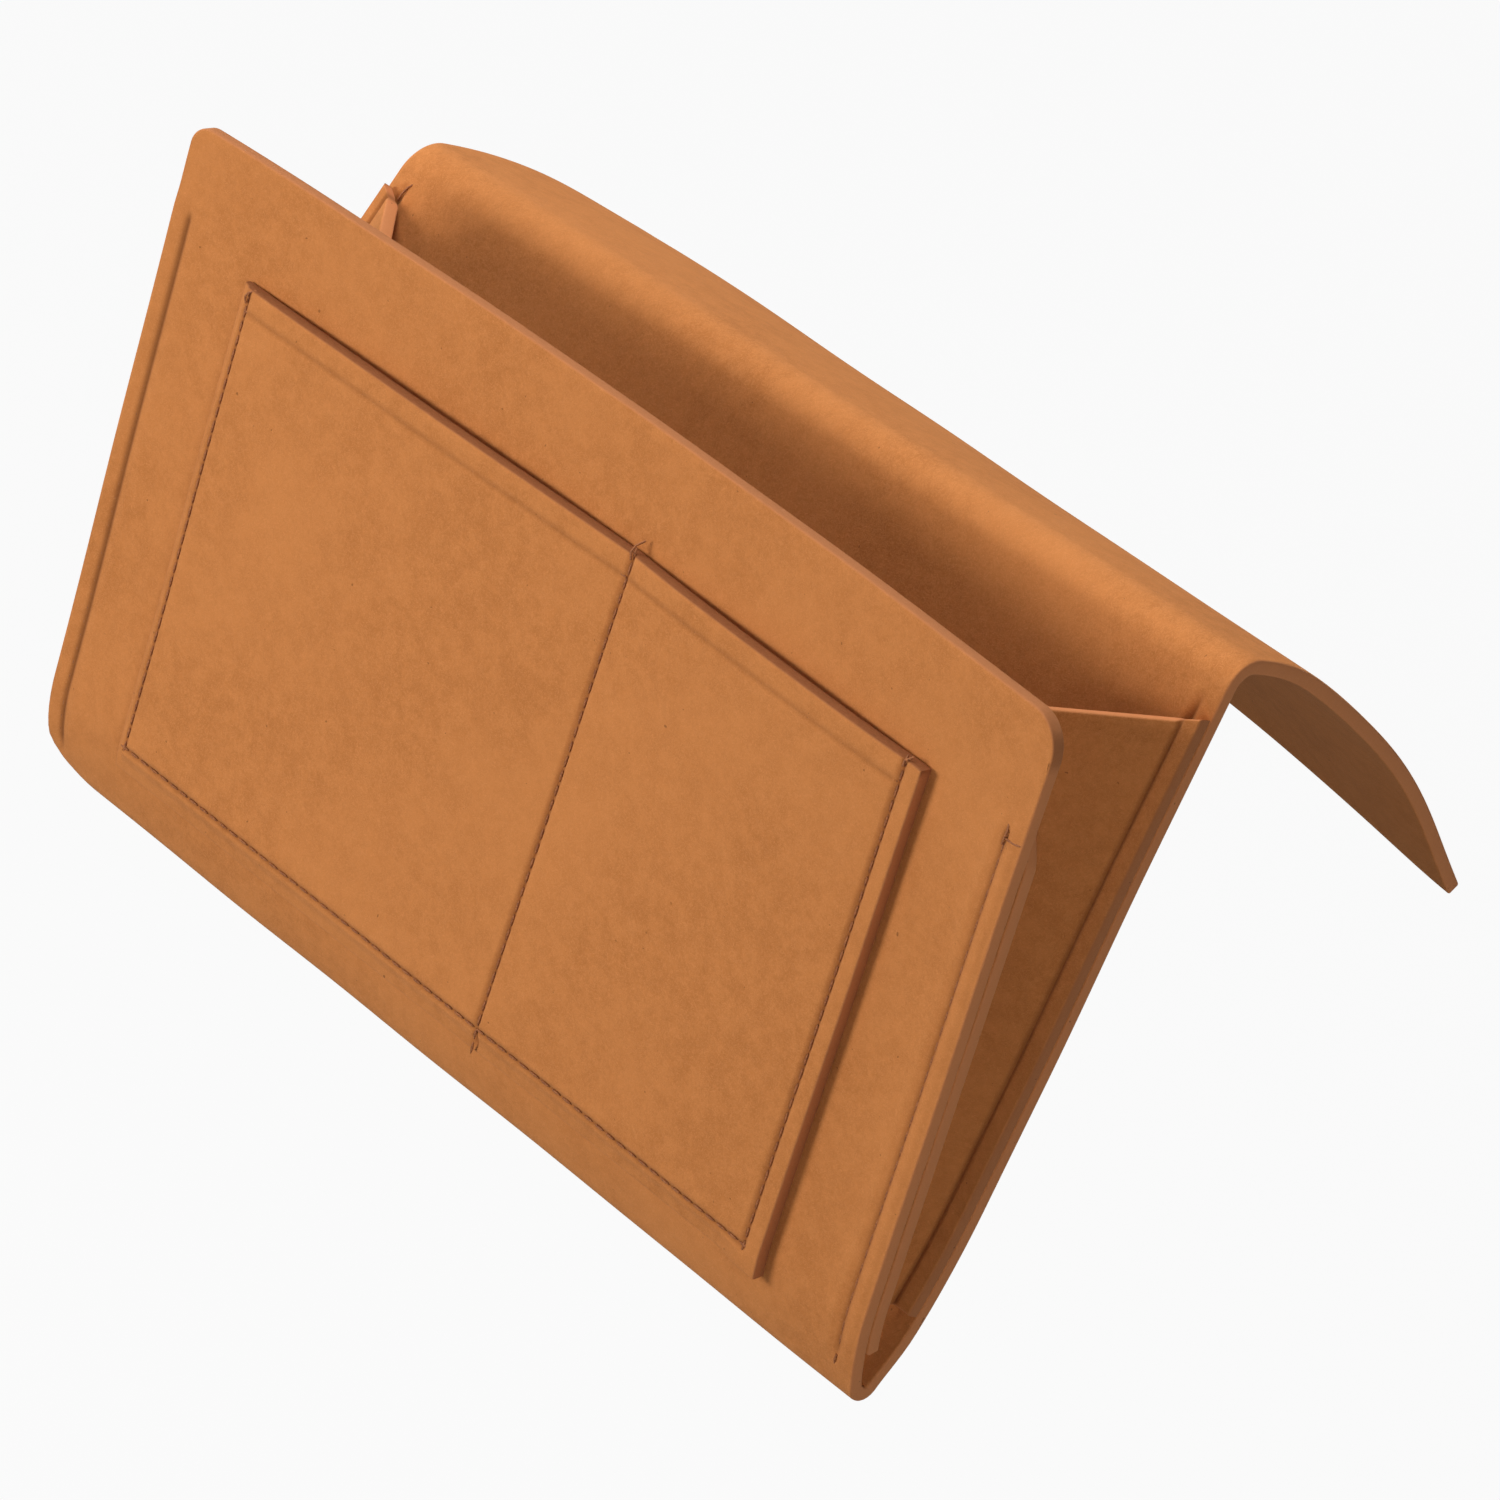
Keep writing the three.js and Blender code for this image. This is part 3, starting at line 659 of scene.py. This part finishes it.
def gussetLine(side, share):
    # from the front edge, round the pleat, to the back edge; the pleat is shorter than the flanges
    inset = gusset["leftInset"] if side < 0 else 0   # of the edge; the seam is set in a third as far
    seam = halfWidth - gusset["flange"] - inset / 3
    frontEdge, backEdge = facingSpots(side, halfWidth - inset, share)
    frontSeam, backSeam = facingSpots(side, seam, share, share * gusset["backFall"])
    if side > 0:
        slant = gusset["slant"] * smooth((share - gusset["slantFrom"]) / gusset["slantOver"])
        frontEdge = facingSpots(side, halfWidth - slant, share)[0]
    lowSpots = facingSpots(side, seam, share * gusset["pleatHeights"][side > 0])
    pleat = pleatCurve(side, share, *lowSpots)
    return np.concatenate([[frontEdge], cornerCurve(frontEdge, frontSeam, pleat[0]), pleat,
                           cornerCurve(pleat[-1], backSeam, backEdge), [backEdge]])


def respaced(line):
    # the line with the same number of points on each of its parts in every row
    curve, pleat = gusset["curvePoints"] - 1, gusset["pleatPoints"] - 1
    ends = np.cumsum([0, 1, curve, 1, pleat, 1, curve, 1])
    out = []
    for first, last, count in zip(ends, ends[1:], gusset["spans"]):
        part = line[first:last + 1]
        run = np.concatenate([[0], np.cumsum(np.linalg.norm(np.diff(part, axis=0), axis=1))])
        at = np.linspace(0, run[-1], count + 1)[:-1]
        out.append(np.stack([np.interp(at, run, part[:, k]) for k in range(3)], -1))
    return np.concatenate(out + [line[-1:]])


def gussetSheet(name, side):
    shares = np.linspace(0, 1, gusset["rows"])
    middle = np.stack([respaced(gussetLine(side, share)) for share in shares])
    alongRows, alongLine = np.gradient(middle, axis=0), np.gradient(middle, axis=1)
    normal = np.cross(alongLine, alongRows)
    normal[:, [0, -1], 0] = 0   # the flanges' edges lie flat on the front and the back
    normal /= np.linalg.norm(normal, axis=-1, keepdims=True)
    steps = np.linalg.norm(np.diff(middle, axis=1), axis=2)
    run = np.concatenate([np.zeros((len(shares), 1)), np.cumsum(steps, axis=1)], 1)
    height = np.broadcast_to((shares * gusset["height"])[:, None], run.shape)
    flange = gusset["flange"] if side > 0 else gusset["flange"] - gusset["leftInset"] * 2 / 3
    away = np.abs(np.minimum(run, run[:, -1:] - run) - flange)
    faces = halfThick - np.maximum(seamDips(away, gusset["seamDepth"]), 0)
    # painted shade in the colour along the seam grooves, and on the top edge
    paintedShades = gusset["paintedShade"] * seamShadeMask(away, gusset["paintedShadeWidth"])
    return feltSheet(name, middle, normal, clothGrid(run + side * gusset["clothShift"], height), faces, faces,
                     ("start", "stop", "foot", "head"), (paintedShades, paintedShades), paintedHeadShade=gusset["paintedHeadShade"])


lower, upper = lowerStrip(), upperStrip()
patch = pocketSheet()
rightGusset, leftGusset = gussetSheet("gusset_right", 1), gussetSheet("gusset_left", -1)
print("felt sheets made")


# Thread: paths on the felt's faces carry stitches, which Geometry Nodes lay along them
stitch = {"pitch": 0.0041, "length": 0.0036, "thickness": 0.0007, "sunk": 0.00062, "seed": 7, "step": 0.003,
          "shortest": 0.86, "longest": 1.06, "segments": 8, "rings": 6}


def stationAt(x, run):
    # the station on the back whose cloth run at x is run
    station = run
    for _ in range(6):
        station -= backSpots(np.array([x]), np.array([station]))[2][0] - run
    return np.array([station])


def onStrip(points, face):
    # points are (across, run); face is 1 for the inner face and -1 for the outer one
    places = []
    for x, run in points:
        if run < 0:
            middle, normal = frontSpots(np.array([x]), np.array([-run]))
        else:
            middle, normal, _ = backSpots(np.array([x]), stationAt(x, run))
        places.append(middle[0] + normal[0] * (ripple(x, run) + face * (halfThick - stitch["sunk"])))
    return places


def onPocket(points):
    places = []
    for x, run in points:
        middle, normal = frontSpots(np.array([x]), np.array([run]))
        away = ripple(x, -run) - pocketStandOff(np.array([x]), np.array([run]))[0]
        places.append(middle[0] + normal[0] * (away - halfThick + stitch["sunk"]))
    return places


def walk(seam):
    (x0, r0), (x1, r1) = seam[:2]
    count = max(2, round(math.hypot(x1 - x0, r1 - r0) / stitch["step"]))
    return [(x0 + (x1 - x0) * k / count, r0 + (r1 - r0) * k / count) for k in range(count + 1)]


def startTree(name, sizes):
    # a tree that takes a path, sizes and a thread, with its input node and a curve along the path
    tree = bpy.data.node_groups.new(name, "GeometryNodeTree")
    face = tree.interface
    face.new_socket("Geometry", in_out="INPUT", socket_type="NodeSocketGeometry")
    for size in sizes:
        face.new_socket(size, in_out="INPUT", socket_type="NodeSocketFloat")
    face.new_socket("Thread", in_out="INPUT", socket_type="NodeSocketMaterial")
    face.new_socket("Geometry", in_out="OUTPUT", socket_type="NodeSocketGeometry")
    given, curve = tree.nodes.new("NodeGroupInput"), tree.nodes.new("GeometryNodeMeshToCurve")
    tree.links.new(given.outputs["Geometry"], curve.inputs["Mesh"])
    return tree, given, curve


def finishTree(tree, given, shape):
    add, link = tree.nodes.new, tree.links.new
    real, painted = add("GeometryNodeRealizeInstances"), add("GeometryNodeSetMaterial")
    out = add("NodeGroupOutput")
    link(shape.outputs[0], real.inputs[0])
    link(real.outputs[0], painted.inputs["Geometry"])
    link(given.outputs["Thread"], painted.inputs["Material"])
    link(painted.outputs[0], out.inputs[0])
    return tree


def stitchTree():
    tree, given, curve = startTree("running stitch", ("Pitch", "Stitch Length", "Thread Thickness"))
    add, link = tree.nodes.new, tree.links.new
    spaced = add("GeometryNodeResampleCurve")
    spaced.mode = "LENGTH"
    link(curve.outputs[0], spaced.inputs["Curve"])
    link(given.outputs["Pitch"], spaced.inputs["Length"])
    tangent, turn = add("GeometryNodeInputTangent"), add("FunctionNodeAlignRotationToVector")
    turn.axis = "X"
    link(tangent.outputs[0], turn.inputs["Vector"])
    ball, shaded = add("GeometryNodeMeshUVSphere"), add("GeometryNodeSetShadeSmooth")
    ball.inputs["Segments"].default_value = stitch["segments"]
    ball.inputs["Rings"].default_value = stitch["rings"]
    ball.inputs["Radius"].default_value = 0.5   # so that the scale below is the stitch's own size
    link(ball.outputs[0], shaded.inputs[0])
    vary, longer = add("FunctionNodeRandomValue"), add("ShaderNodeMath")
    vary.data_type = "FLOAT"
    vary.inputs[2].default_value = stitch["shortest"]
    vary.inputs[3].default_value = stitch["longest"]
    vary.inputs["Seed"].default_value = stitch["seed"]
    longer.operation = "MULTIPLY"
    link(given.outputs["Stitch Length"], longer.inputs[0])
    link(vary.outputs[1], longer.inputs[1])
    size = add("ShaderNodeCombineXYZ")
    link(longer.outputs[0], size.inputs[0])
    link(given.outputs["Thread Thickness"], size.inputs[1])
    link(given.outputs["Thread Thickness"], size.inputs[2])
    laid = add("GeometryNodeInstanceOnPoints")
    link(spaced.outputs[0], laid.inputs["Points"])
    link(shaded.outputs[0], laid.inputs["Instance"])
    link(turn.outputs[0], laid.inputs["Rotation"])
    link(size.outputs[0], laid.inputs["Scale"])
    return finishTree(tree, given, laid)


tails = {"thickness": 0.0006, "sides": 7}


def tailTree():
    tree, given, curve = startTree("thread end", ("Thread Thickness",))
    add, link = tree.nodes.new, tree.links.new
    ring, tube = add("GeometryNodeCurvePrimitiveCircle"), add("GeometryNodeCurveToMesh")
    half, shaded = add("ShaderNodeMath"), add("GeometryNodeSetShadeSmooth")
    half.operation = "MULTIPLY"
    half.inputs[1].default_value = 0.5
    ring.inputs["Resolution"].default_value = tails["sides"]
    tube.inputs["Fill Caps"].default_value = True
    link(given.outputs["Thread Thickness"], half.inputs[0])
    link(half.outputs[0], ring.inputs["Radius"])
    link(curve.outputs[0], tube.inputs["Curve"])
    link(ring.outputs[0], tube.inputs["Profile Curve"])
    link(tube.outputs[0], shaded.inputs[0])
    return finishTree(tree, given, shaded)


def pathMesh(name, paths):
    points, edges = [], []
    for path in paths:
        edges += [(len(points) + k, len(points) + k + 1) for k in range(len(path) - 1)]
        points += [tuple(point) for point in path]
    mesh = bpy.data.meshes.new(name)
    mesh.from_pydata(points, edges, [])
    made = bpy.data.objects.new(name, mesh)
    bpy.context.collection.objects.link(made)
    return made


def grown(name, paths, tree, values):
    # runs a tree over paths and keeps the result as a plain mesh
    source = pathMesh(name + "_path", paths)
    modifier = source.modifiers.new("growth", "NODES")
    modifier.node_group = tree
    sockets = {item.name: item.identifier for item in tree.interface.items_tree if item.in_out == "INPUT"}
    for key, value in values.items():
        modifier[sockets[key]] = value
    evaluated = source.evaluated_get(bpy.context.evaluated_depsgraph_get())
    mesh = bpy.data.meshes.new_from_object(evaluated)
    source.modifiers.remove(modifier)
    bpy.data.objects.remove(source)
    mesh.name = name
    made = bpy.data.objects.new(name, mesh)
    bpy.context.collection.objects.link(made)
    return made


frontPaths = [onPocket(walk(seam)) for seam in pocketSeams + hemSeam]
frontPaths += [onStrip(walk(seam), 1) for seam in throughPocket]
frontPaths += [onStrip(walk(seam), -1) for seam in frontMargins]
backPaths = [onStrip(walk(seam), -1) for seam in backMargins]
threadValues = {"Pitch": stitch["pitch"], "Stitch Length": stitch["length"],
                "Thread Thickness": stitch["thickness"], "Thread": thread}
runningStitch = stitchTree()
frontStitches = grown("stitches_front", frontPaths, runningStitch, threadValues)
backStitches = grown("stitches_back", backPaths, runningStitch, threadValues)

# Loose ends and tacks of the thread, as (across, run, height over the stitches' line)
pocketEnds = [
    [(0.0210, 0.1604, 0), (0.0206, 0.1624, 0.0005), (0.0204, 0.1640, -0.0008), (0.0214, 0.1656, -0.0028)],
    [(-0.1234, 0.1578, 0), (-0.1238, 0.1596, 0.0005), (-0.1228, 0.1612, 0.0004), (-0.1216, 0.1620, -0.0010)],
    [(0.1212, 0.1600, 0), (0.1216, 0.1618, 0.0005), (0.1226, 0.1630, -0.0012)]]
frontEnds = [
    [(-0.1288, -0.0236, 0), (-0.1276, -0.0238, 0.0004), (-0.1258, -0.0243, 0.0005), (-0.1246, -0.0246, 0)],
    [(-0.1284, -0.0229, 0), (-0.1270, -0.0230, 0.0004), (-0.1252, -0.0235, 0)],
    [(0.1538, -0.1574, 0), (0.1541, -0.1590, 0.0003), (0.1544, -0.1612, 0.0004), (0.1540, -0.1630, 0.0001)],
    [(0.1540, -0.1592, 0), (0.1560, -0.1594, 0.0003), (0.1582, -0.1597, 0.0003), (0.1596, -0.1600, -0.0003)],
    [(0.1540, -0.0136, 0), (0.1538, -0.0120, 0.0003), (0.1536, -0.0106, 0)]]
backEnds = [
    [(-0.1540, 0.1770, 0), (-0.1538, 0.1790, 0.0003), (-0.1532, 0.1812, 0.0004), (-0.1524, 0.1826, 0.0002)]]


def pocketTailPath(points):
    path = []
    for x, run, height in points:
        out = -frontSpots(np.array([x]), np.array([run]))[1][0]
        path.append(Vector(onPocket([(x, run)])[0]) + Vector(out) * (height + stitch["sunk"]))
    return path


def stripTailPath(points, side):
    # side is 1 for the inner face and -1 for the outer one
    path = []
    for x, run, height in points:
        low, high = [Vector(onStrip([(x, run)], side * share)[0]) for share in (0, 1)]
        path.append(high + (high - low).normalized() * (height + stitch["sunk"]))
    return path


tailValues = {"Thread Thickness": tails["thickness"], "Thread": thread}
looseThread = tailTree()
frontTailPaths = [pocketTailPath(points) for points in pocketEnds]
frontTailPaths += [stripTailPath(points, -1) for points in frontEnds]
frontTails = grown("thread_ends_front", frontTailPaths, looseThread, tailValues)
backTailPaths = [stripTailPath(points, 1) for points in backEnds]
backTails = grown("thread_ends_back", backTailPaths, looseThread, tailValues)
print("seams sewn")

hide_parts("front_panel")
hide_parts("back_panel", "tuck_flap")
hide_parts("pocket_panel")
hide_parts("right_gusset")
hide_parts("left_gusset")
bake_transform(lower)
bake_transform(upper)
for side in (rightGusset, leftGusset):
    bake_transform(side)
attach(patch, "front")
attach(frontStitches, "front")
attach(backStitches, "back")
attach(frontTails, "front")
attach(backTails, "back")
print("pieces placed")

lamps = {"key": {"place": (-0.40, -1.00, -0.10), "aim": (0, 0, -0.08), "size": 0.45, "power": 7.8},
         "top": {"place": (-0.85, 0.05, 1.5), "aim": (0, 0.02, 0), "size": 0.8, "power": 14.5},
         "high": {"place": (-0.55, -0.45, 1.45), "aim": (0, 0, 0), "size": 0.8, "power": 15.5},
         "fill": {"place": (1.25, -0.95, -0.20), "aim": (0, 0, -0.05), "size": 0.8, "power": 6.4},
         "rear": {"place": (0.75, 1.10, -0.35), "aim": (0.05, 0.1, -0.02), "size": 0.8, "power": 2.2}}
studio = {"sky": 0.07, "floor": -0.62, "floorReach": 12, "floorGrey": (0.25, 0.25, 0.25, 1),
          "white": (1, 1, 1, 1), "floorWhite": 0.95}


def areaLight(name, place, aim, size, power):
    data = bpy.data.lights.new(name, "AREA")
    data.shape, data.size, data.energy = "DISK", size, power
    lamp = bpy.data.objects.new(name, data)
    bpy.context.collection.objects.link(lamp)
    lamp.location = place
    lamp.rotation_euler = (Vector(aim) - Vector(place)).to_track_quat("-Z", "Y").to_euler()


def addWorld():
    # a faint light all round, which the camera and reflections see as plain white
    world = bpy.data.worlds.new("studio")
    bpy.context.scene.world = world
    world.use_nodes = True
    nodes, links = world.node_tree.nodes, world.node_tree.links
    nodes.clear()
    ray, either = nodes.new("ShaderNodeLightPath"), nodes.new("ShaderNodeMath")
    seen, lit = nodes.new("ShaderNodeBackground"), nodes.new("ShaderNodeBackground")
    mixed, out = nodes.new("ShaderNodeMixShader"), nodes.new("ShaderNodeOutputWorld")
    lit.inputs["Strength"].default_value = studio["sky"]
    either.operation = "MAXIMUM"
    links.new(ray.outputs["Is Camera Ray"], either.inputs[0])
    links.new(ray.outputs["Is Glossy Ray"], either.inputs[1])
    links.new(either.outputs[0], mixed.inputs[0])
    links.new(lit.outputs[0], mixed.inputs[1])
    links.new(seen.outputs[0], mixed.inputs[2])
    for shade in (lit, seen):
        shade.inputs["Color"].default_value = studio["white"]
    links.new(mixed.outputs[0], out.inputs["Surface"])


def addFloor():
    # nearly white to the camera, with a little of the object's shadow
    paint = Paint("pale floor")
    share = paint.level("ShaderNodeLightPath", output="Is Camera Ray") * studio["floorWhite"]
    shadow = paint.node("ShaderNodeBsdfDiffuse", None, {"Color": studio["floorGrey"]})
    white = paint.node("ShaderNodeEmission", None, {"Color": studio["white"], "Strength": 1.0})
    mixed = paint.node("ShaderNodeMixShader", None, {0: share, 1: shadow.outputs[0], 2: white.outputs[0]})
    paint.node("ShaderNodeOutputMaterial", None, {"Surface": mixed.outputs[0]})
    mesh = bpy.data.meshes.new("floor")
    reach, z = studio["floorReach"], studio["floor"]
    corners = [(-reach, -reach, z), (reach, -reach, z), (reach, reach, z), (-reach, reach, z)]
    mesh.from_pydata(corners, [], [(0, 1, 2, 3)])
    mesh.materials.append(paint.material)
    floor = bpy.data.objects.new("floor", mesh)
    bpy.context.collection.objects.link(floor)


for name, lamp in lamps.items():
    areaLight(name, **lamp)
addWorld()
addFloor()
bpy.context.scene.view_settings.view_transform = "Standard"
print("studio lit")

bpy.context.view_layer.update()
